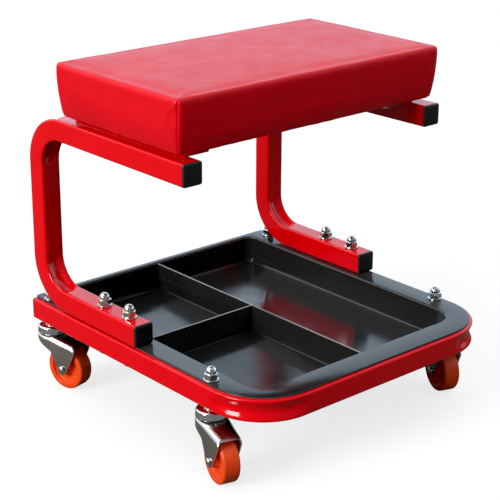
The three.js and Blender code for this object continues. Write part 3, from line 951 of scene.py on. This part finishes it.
def make_plate(node, suffix, slot, inset, corner, edge, bolts):
    """A flat plate over a CAD node's box, moved in by an inset, with its bolt holes."""
    low, high = span(node)
    half = (high - low).xy / 2 - Vector((inset, inset))
    part = slab(half, corner, low.z, high.z, edge)
    plate = piece(f"{node}_{suffix}", *part, slot, spot(node))
    drilled(plate, node, bolts, low.z, high.z)


def make_seat_board():
    clearance = 4.0  # from the cover's tapered sides
    make_plate("seat_board", "ply", "seat_board", clearance, 8, 1.5, seat_bolt_places)


def make_bracket(side):
    """The flat bar welded along an arm's inner top edge, painted with the frame."""
    node = f"seat_bracket_{side}"
    make_plate(node, "bar", "frame_paint", 0, 2.5, 0.8, on_side(seat_bolt_places, middle(node).x))


def make_staples():
    """Wire staples that hold the hem to the board, a little askew."""
    wire = slab((5.0, 0.55), 0.4, -0.5, 0.35, 0.25)
    inset = HEM - 6
    half = seat_half.xy - Vector((inset, inset))
    parts = []
    for axis in (0, 1):
        count = round(2 * half[axis] / STAPLE_PITCH)
        for step in range(1, count):
            for sign in (-1, 1):
                place = Vector((0, 0, seat_low.z))
                place[axis] = half[axis] * (2 * step / count - 1)
                place[1 - axis] = sign * half[1 - axis]
                askew = 0.25 * noise.noise(place * 0.37)
                turn = Matrix.Rotation(axis * pi / 2 + askew, 4, "Z")
                parts.append(moved(wire, Matrix.Translation(place + Vector((*seat_middle.xy, 0))) @ turn))
    fit("seat_staples", joined(parts), "zinc")


# -------- fasteners


def hex_rings(bottom, top, chamfered_top):
    """Rings up the outside of a hexagon whose lower face is chamfered round."""
    corner = HEX_ACROSS / sqrt(3)
    chamfer_width = corner - HEX_CHAMFER_RADIUS
    chamfer_height = chamfer_width * 0.55
    shares = [step / 4 for step in range(5)]
    chamfer = [(HEX_CHAMFER_RADIUS + chamfer_width * share, chamfer_height * share) for share in shares]
    outline = [(reach, bottom + rise) for reach, rise in chamfer]
    if chamfered_top:
        outline += [(reach, top - rise) for reach, rise in reversed(chamfer)]
    else:
        outline.append((corner, top))
    return [ring(reach, height, HEX_ACROSS) for reach, height in outline]


def acorn_nut(height):
    """A domed cap nut standing on Z = 0, with a blind bore."""
    neck = NUT_DOME_RADIUS
    rings = [ring(0, NUT_BORE), ring(THREAD_RADIUS, NUT_BORE - 1)]
    rings += [ring(THREAD_RADIUS, 0.8), ring(BOLT_BORE, 0)]
    rings += hex_rings(0, NUT_HEX, True)
    rings += [ring(neck + 0.25, NUT_HEX + 0.05), ring(neck, NUT_HEX + 0.4)]
    dome_base = height - neck
    rings += [ring(across, up) for across, up in arc((0, dome_base), neck, 0, 90, 12)]
    return loft(rings)


def hex_bolt(head_bottom, head_top, shank_top):
    """A bolt that stands on its dished head."""
    dish = head_bottom + 0.25
    rings = [ring(0, dish), ring(3.6, dish), ring(4.2, head_bottom)]
    rings += hex_rings(head_bottom, head_top, False)
    rings += [ring(BOLT_RADIUS, head_top), ring(BOLT_RADIUS, shank_top - 0.8)]
    rings += [ring(BOLT_RADIUS - 0.8, shank_top), ring(0, shank_top)]
    return loft(rings)


def flat_washer(node):
    low, high = span(node)
    radius = radius_of(node)
    edge, bore, bevel = 0.35, BOLT_BORE, 0.3
    profile = arc((radius - edge, low.z + edge), edge, 270, 360, 3)
    profile += arc((radius - edge, high.z - edge), edge, 0, 90, 3)
    profile += [(bore + bevel, high.z), (bore, high.z - bevel), (bore, low.z + bevel), (bore + bevel, low.z)]
    return turned(profile, closed=True)


def make_nut_and_washer(nut, washer, slot, turn):
    low, high = span(nut)
    place = spot(nut, turn) @ Matrix.Translation((0, 0, low.z))
    fit(f"{nut}_domed", acorn_nut(high.z - low.z), slot, place, nut)
    fit(f"{washer}_disc", flat_washer(washer), "zinc", spot(washer), washer)


def make_arm_fasteners(side, end, turn):
    make_nut_and_washer(f"arm_acorn_nut_{side}_{end}", f"arm_washer_{side}_{end}", "zinc", turn)
    heads = {f"arm_bolt_{side}_{end}": base_low.z - GAP, f"seat_bolt_{side}_{end}": arm_high.z}
    for node, head_top in heads.items():
        low, high = span(node)
        fit(f"{node}_hex", hex_bolt(low.z, head_top, high.z), "zinc", spot(node, turn + 10), node)


# -------- casters


def fork_top(along):
    """Height of the fork's top sheet: level over the swivel, then a sloping hood with a curled rear edge."""
    slope = (FORK_TOP - FORK_REAR.z) / (FORK_REAR.x - FORK_HOOD_START)
    past = along - FORK_HOOD_START
    softness = 4.0  # of the crease where the slope starts
    drop = slope * (past + sqrt(past * past + softness * softness)) / 2
    curl = max(0.0, along - FORK_REAR.x + FORK_CURL)
    return FORK_TOP - drop - curl * curl / (2 * FORK_CURL)


def fork_shoulder(along):
    """Radius of the rounding between the fork's top sheet and its legs."""
    return 3.0 + 3.5 * smooth_step(along, -8, 26)


def tip_touch(corner, tip, side):
    """Where a straight edge from a corner touches the fork's round tip."""
    off = corner - tip
    angle = math.atan2(off.y, off.x) + side * math.acos(FORK_TIP_RADIUS / off.length)
    return tip + FORK_TIP_RADIUS * Vector((cos(angle), sin(angle)))


def fork_touches(tip):
    """The leg's rear corner, and where its front and rear edges touch the round tip."""
    rear = Vector((FORK_REAR.x, fork_top(FORK_REAR.x) - fork_shoulder(FORK_REAR.x)))
    return rear, tip_touch(FORK_KNEE, tip, 1), tip_touch(rear, tip, -1)


def fork_edge(along, tip):
    """Height of the fork's lower edge."""
    rear, front_touch, rear_touch = fork_touches(tip)
    if along < FORK_SKIRT.x:
        return FORK_SKIRT.y
    if along < FORK_KNEE.x:
        start, end = FORK_SKIRT, FORK_KNEE
    elif along < front_touch.x:
        start, end = FORK_KNEE, front_touch
    elif along > rear_touch.x:
        start, end = rear_touch, rear
    else:
        return tip.y - sqrt(max(FORK_TIP_RADIUS ** 2 - (along - tip.x) ** 2, 0))
    return start.y + (end.y - start.y) * (along - start.x) / (end.x - start.x)


def fork_columns(tip):
    """(along, across, normal) round the fork's plan from one rear corner to the other."""
    rear, front_touch, rear_touch = fork_touches(tip)
    stops = [0.0, FORK_KNEE.x, front_touch.x]
    stops += [tip.x - FORK_TIP_RADIUS * cos(radians(angle)) for angle in range(30, 160, 10)]
    stops = [stop for stop in stops if stop <= rear_touch.x] + [rear_touch.x, FORK_REAR.x]
    alongs = []
    for start, end in zip(sorted(stops), sorted(stops)[1:]):
        steps = max(1, round((end - start) / 1.5))
        alongs += [start + (end - start) * step / steps for step in range(steps)]
    alongs.append(FORK_REAR.x)
    normal = Vector((FORK_NARROWING, 1)).normalized()
    flank = [(x, FORK_FRONT_RADIUS - FORK_NARROWING * x, normal) for x in alongs]
    front = []
    for angle in range(95, 270, 5):
        out = Vector((cos(radians(angle)), sin(radians(angle))))
        front.append((*(out * FORK_FRONT_RADIUS), out))
    other = [(x, -y, Vector((n.x, -n.y))) for x, y, n in flank]
    return list(reversed(flank)) + front + other


def fork_skin(tip):
    """The outside of the pressed fork: a top sheet with a swivel hole, rolled shoulders and two legs."""
    columns = fork_columns(tip)
    shoulder_steps, leg_steps, sheet_steps = 7, 6, 9
    rim = []
    for x, y, normal in columns:
        inner = Vector((x, y)) - normal * fork_shoulder(x)
        rim.append(Vector((x if x == FORK_REAR.x else inner.x, inner.y)))
    rear_steps = 8
    corner = rim[-1]
    across = [corner.y + (rim[0].y - corner.y) * step / rear_steps for step in range(1, rear_steps)]
    rim += [Vector((FORK_REAR.x, y)) for y in across]
    points, faces = [], []

    def add_row(row):
        start = len(points)
        points.extend(row)
        return list(range(start, start + len(row)))

    hole = [spot_on_rim.normalized() * SWIVEL_HOLE_RADIUS for spot_on_rim in rim]
    before = None
    for step in range(sheet_steps + 1):
        share = step / sheet_steps
        flat = [start.lerp(end, share) for start, end in zip(hole, rim)]
        row = add_row([Vector((*place, fork_top(place.x))) for place in flat])
        before = strip(faces, before, row) if before else row
    before = before[:len(columns)]
    for step in range(1, shoulder_steps + 1):
        angle = pi / 2 * step / shoulder_steps
        row = []
        for x, y, normal in columns:
            radius = fork_shoulder(x)
            out = Vector((x, y)) - normal * radius * (1 - sin(angle))
            along = x if x == FORK_REAR.x else out.x
            row.append(Vector((along, out.y, fork_top(x) - radius * (1 - cos(angle)))))
        before = strip(faces, before, add_row(row), closed=False)
    for step in range(1, leg_steps + 1):
        share = step / leg_steps
        row = []
        for x, y, normal in columns:
            top = fork_top(x) - fork_shoulder(x)
            bottom = min(fork_edge(x, tip), top - 0.05)
            row.append(Vector((x, y, top + (bottom - top) * share)))
        before = strip(faces, before, add_row(row), closed=False)
    return points, faces


def cup():
    """The pressed chrome cup over the swivel's race, with a rolled lower edge."""
    low, high = span("caster_fl_cup")
    radius, collar = radius_of("caster_fl_cup"), radius_of("caster_fl_stem")
    wall, edge = 1.2, 2.4
    bead = 0.35  # how far the rolled lower edge stands out
    body = radius - bead
    outside = [(body, low.z), (radius, low.z + bead), (radius, low.z + 1.6), (body, low.z + 2.1)]
    outside += arc((body - edge, high.z - edge), edge, 0, 90, 7)
    lip = high.z + 0.15
    outside += [(collar + 1.8, high.z - 0.1), (collar + 0.9, lip)]
    inside = [(BOLT_BORE, lip), (BOLT_BORE, high.z - wall)]
    inside += arc((body - edge, high.z - edge), edge - wall, 90, 0, 4) + [(body - wall, low.z)]
    return turned(outside + inside, closed=True)


def stem():
    """Threaded stem with its collar above the cup and its rivet head under the fork."""
    low, high = span("caster_fl_stem")
    cup_top = span("caster_fl_cup")[1].z
    collar_low, collar_high = cup_top + GAP, base_low.z - GAP
    head = 6.5
    head_top = low.z + 2.2
    profile = [(0, low.z), (head * 0.6, low.z + 0.1), (head - 0.3, low.z + 0.8), (head, low.z + 1.3)]
    profile += [(head, head_top), (BOLT_RADIUS, head_top), (BOLT_RADIUS, collar_low)]
    collar = radius_of("caster_fl_stem")
    profile += [(collar - 0.4, collar_low), (collar, collar_low + 0.4), (collar, collar_high - 0.4)]
    profile += [(collar - 0.4, collar_high), (BOLT_RADIUS, collar_high), (BOLT_RADIUS, high.z - 0.8)]
    profile += [(BOLT_RADIUS - 0.8, high.z), (0, high.z)]
    return turned(profile)


def race():
    """The hardened ring that the balls run on, standing on the fork."""
    bottom = FORK_TOP + 0.02
    foot = RACE_RADIUS + 1.5
    groove = arc((RACE_RADIUS + 1.3, 64.2), 2.0, 225, 140, 5)
    profile = [(SWIVEL_HOLE_RADIUS, bottom), (foot, bottom), (foot, bottom + 1.0)]
    profile += groove + [(SWIVEL_HOLE_RADIUS, RACE_TOP)]
    return turned(profile, closed=True)


def balls():
    """The ring of balls between the race and the cup."""
    radius, orbit, height, count = 1.65, 13.05, 64.4, 16
    half_circle = [(radius * sin(pi * step / 10), -radius * cos(pi * step / 10)) for step in range(11)]
    ball = turned(half_circle, segments=16)
    angles = [tau * k / count for k in range(count)]
    places = [Vector((orbit * cos(angle), orbit * sin(angle), height)) for angle in angles]
    return joined([moved(ball, Matrix.Translation(place)) for place in places])


def wheel(radius):
    """Moulded wheel about the Z axis: rounded tread, flat outer ring, recessed web and hub boss."""
    half, shoulder, rim, recess = 9.3, 2.4, 7.0, 3.5
    hub, bore = 7.6, 4.6
    inner = radius - rim
    face = [(radius, 0.0), (radius - 0.02, 3.0)]
    face += arc((radius - shoulder - 0.05, half - shoulder), shoulder, 0, 90, 8)
    face += arc((inner + 0.7, half - 0.7), 0.7, 90, 180, 4)
    face += [(inner - 0.35, half - recess + 1.2)]
    face += arc((inner - 1.6, half - recess + 1.2), 1.2, 0, -90, 4)
    face += arc((hub + 1.2, half - recess + 1.2), 1.2, 270, 180, 4)
    face += arc((hub - 0.6, half + 0.4), 0.6, 0, 90, 3)
    face += [(bore, half + 1.0)]
    profile = face + [(r, -h) for r, h in reversed(face[1:])]
    return turned(profile, closed=True, segments=96)


def bush():
    """Steel sleeve through the wheel, which keeps it clear of the fork's legs."""
    outer, inner, half = 4.55, 3.2, 12.2
    profile = [(inner, -half), (outer - 0.3, -half), (outer, -half + 0.3), (outer, half - 0.3)]
    profile += [(outer - 0.3, half), (inner, half)]
    return turned(profile, closed=True, segments=48)


def axle(reach):
    """Rivet through the fork and wheel, with a low dome at each end."""
    shank, head, dome = 2.9, 4.0, 2.1
    seat = reach - dome
    half = [(0, reach)]
    half += [(head * sin(radians(a)), seat + 0.4 + (dome - 0.4) * cos(radians(a))) for a in (20, 40, 60, 78)]
    half += [(head, seat + 0.4), (head, seat), (shank, seat)]
    return turned([(r, -h) for r, h in half] + list(reversed(half)), segments=48)


def joint_place(name):
    found = next(joint for joint in frame["joints"] if joint["name"] == name)
    return Vector(found["pos_m"]) / MM


def make_caster(name, turn):
    swivel = joint_place(f"{name}_swivel")
    hub = joint_place(f"{name}_roll")
    trail = (hub - swivel).xy
    angle = math.atan2(trail.y, trail.x)
    upright = Matrix.Translation((swivel.x, swivel.y, 0)) @ Matrix.Rotation(angle, 4, "Z")
    axle_line = upright @ Matrix.Translation((trail.length, 0, hub.z)) @ Matrix.Rotation(pi / 2, 4, "X")
    swivel_body, wheel_body = f"{name}_swivel", f"{name}_wheel"

    fit(f"{name}_stem_rivet", stem(), "zinc", upright, f"{name}_stem")
    fit(f"{name}_cup_shell", cup(), "chrome", upright, f"{name}_cup")
    make_nut_and_washer(f"{name}_acorn_nut", f"{name}_washer", "chrome", turn)

    skin = fork_skin(Vector((trail.length, hub.z)) + FORK_TIP_OFFSET)
    fork = piece(f"{name}_fork_sheet", *skin, "zinc_sheet", upright, sharp=40)
    sheet = fork.modifiers.new("thickness", "SOLIDIFY")
    sheet.thickness = FORK_SHEET * MM
    sheet.offset = -1
    sheet.use_even_offset = True
    edge = fork.modifiers.new("edge", "BEVEL")
    edge.width = 0.3 * MM
    edge.segments = 2
    edge.limit_method = "ANGLE"
    edge.angle_limit = radians(40)
    stand_for(baked(fork), f"{name}_fork", swivel_body)
    fit(f"{name}_race", race(), "zinc", upright, body=swivel_body)
    fit(f"{name}_balls", balls(), "chrome", upright, body=swivel_body)

    proud = 2.7  # the rivet's heads stand out from the fork's legs
    reach = FORK_FRONT_RADIUS - FORK_NARROWING * trail.length + proud
    fit(f"{name}_axle_rivet", axle(reach), "zinc", axle_line, f"{name}_axle", swivel_body)
    fit(f"{name}_tyre", wheel(hub.z), "wheel_orange", axle_line, f"{name}_wheel", wheel_body)
    fit(f"{name}_bush", bush(), "zinc", axle_line, body=wheel_body)


# -------- studio


def make_floor():
    """A pale floor, see-through from below, that gives less light back to the object than the eye sees."""
    mesh = bpy.data.meshes.new("floor")
    reach = 12.0
    corners = [(-reach, -reach, 0), (reach, -reach, 0), (reach, reach, 0), (-reach, reach, 0)]
    mesh.from_pydata(corners, [], [(0, 1, 2, 3)])
    finish = Finish("floor", (0.9, 0.9, 0.9), Roughness=0.8, Specular_IOR_Level=0.0)
    path = finish.add("LightPath", {})
    seen = path.outputs["Is Camera Ray"]
    mottled = finish.spread(finish.noise(2.5, 3), 0.3, 0.7, 0.985, 1.0)
    unseen = finish.mix(path.outputs["Is Glossy Ray"], (0.08, 0.08, 0.08), (0.16, 0.152, 0.138))
    finish.colour(finish.mix(seen, unseen, (0.3, 0.3, 0.3)))
    brightness = 0.76
    glow = finish.maths("MULTIPLY", seen, finish.maths("MULTIPLY", mottled, brightness))
    from_below = finish.add("NewGeometry", {}).outputs["Backfacing"]
    finish.feed(finish.surface, {
        "Emission Color": (1, 1, 1, 1),
        "Emission Strength": glow,
        "Alpha": finish.maths("SUBTRACT", 1.0, from_below),
    })
    mesh.materials.append(finish.material)
    linked("floor", mesh)


def make_world():
    """A room lit from above; shiny surfaces show it as a pale sky, brightest low down behind the object."""
    world = bpy.data.worlds.new("studio")
    bpy.context.scene.world = world
    world.use_nodes = True
    tree = NodeTree(world.node_tree)
    direction = tree.add("TexCoord", {}).outputs["Generated"]

    def along(where):
        return tree.add("VectorMath", {0: direction, 1: where}, operation="DOT_PRODUCT").outputs["Value"]

    def eased(value, low, high):
        return tree.spread(value, low, high, easing="SMOOTHSTEP")

    height = along((0, 0, 1))
    behind = eased(along((0.66, 0.75, 0.0)), -0.35, 0.55)
    low_sky = tree.mix(behind, (0.16, 0.17, 0.19), (1.0, 1.25, 1.48))
    sky = tree.mix(eased(height, 0.45, 0.95), low_sky, (0.3, 0.36, 0.44))
    above_left = along(Vector((-0.5, 0.36, 0.79)).normalized())
    sky = tree.mix(eased(above_left, 0.86, 0.95), sky, (2.1, 2.1, 2.15))
    room = tree.mix(eased(height, 0.0, 0.9), (0.14, 0.142, 0.15), (1.0, 1.02, 1.06))
    path = tree.add("LightPath", {})
    seen = tree.mix(path.outputs["Is Glossy Ray"], room, sky)
    seen = tree.mix(path.outputs["Is Camera Ray"], seen, (0.95, 0.95, 0.95))
    tree.feed(tree.nodes["Background"], {"Color": seen})
    world.cycles.sampling_method = "NONE"


def make_key_light():
    """A soft light on the left, a little above the seat."""
    light = bpy.data.lights.new("key", "AREA")
    light.shape = "RECTANGLE"
    light.size, light.size_y = 1.6, 1.1
    light.energy = 122
    light.color = (1.0, 0.985, 0.96)
    key = linked("key", light)
    towards = Vector((-0.94, 0.05, 0.33))
    distance, aim_height = 4, 0.2
    key.location = towards * distance + Vector((0, 0, aim_height))
    key.rotation_euler = (-towards).to_track_quat("-Z", "Y").to_euler()
    key.visible_camera = False


def make_camera():
    azimuth, elevation, roll = radians(-41.35), radians(20.28), radians(0.29)
    distance = 1.623
    target = Vector((-0.0102, 0.0075, 0.1684))
    back = Vector((sin(azimuth) * cos(elevation), -cos(azimuth) * cos(elevation), sin(elevation)))
    data = bpy.data.cameras.new("camera")
    data.sensor_width = 36
    data.lens = 106.1
    camera = linked("camera", data)
    camera.location = target + back * distance
    facing = (-back).to_track_quat("-Z", "Y").to_matrix().to_4x4() @ Matrix.Rotation(roll, 4, "Z")
    camera.rotation_euler = facing.to_euler()
    bpy.context.scene.camera = camera


# -------- assembly

make_base_frame()
make_tray()
make_seat_cover()
make_seat_foam()
make_seat_board()
make_staples()
# every hexagon is turned differently, as fasteners are when they are tightened
for side in sides:
    make_side_arm(side)
    make_bracket(side)
    make_end_cap(f"base_end_cap_{side}", 1)
    make_end_cap(f"arm_lower_cap_{side}", -1)
    make_end_cap(f"arm_upper_cap_{side}", -1)
    for number, end in enumerate(ends):
        first_turn = 25 if side == "left" else 17
        make_arm_fasteners(side, end, first_turn + 25 * number)
for number, name in enumerate(casters):
    make_caster(name, 12 + 19 * number)

make_floor()
make_world()
make_key_light()
make_camera()
view = bpy.context.scene.view_settings
view.view_transform = "Standard"
view.use_curve_mapping = True
view.curve_mapping.black_level = (0.004, 0.004, 0.004)
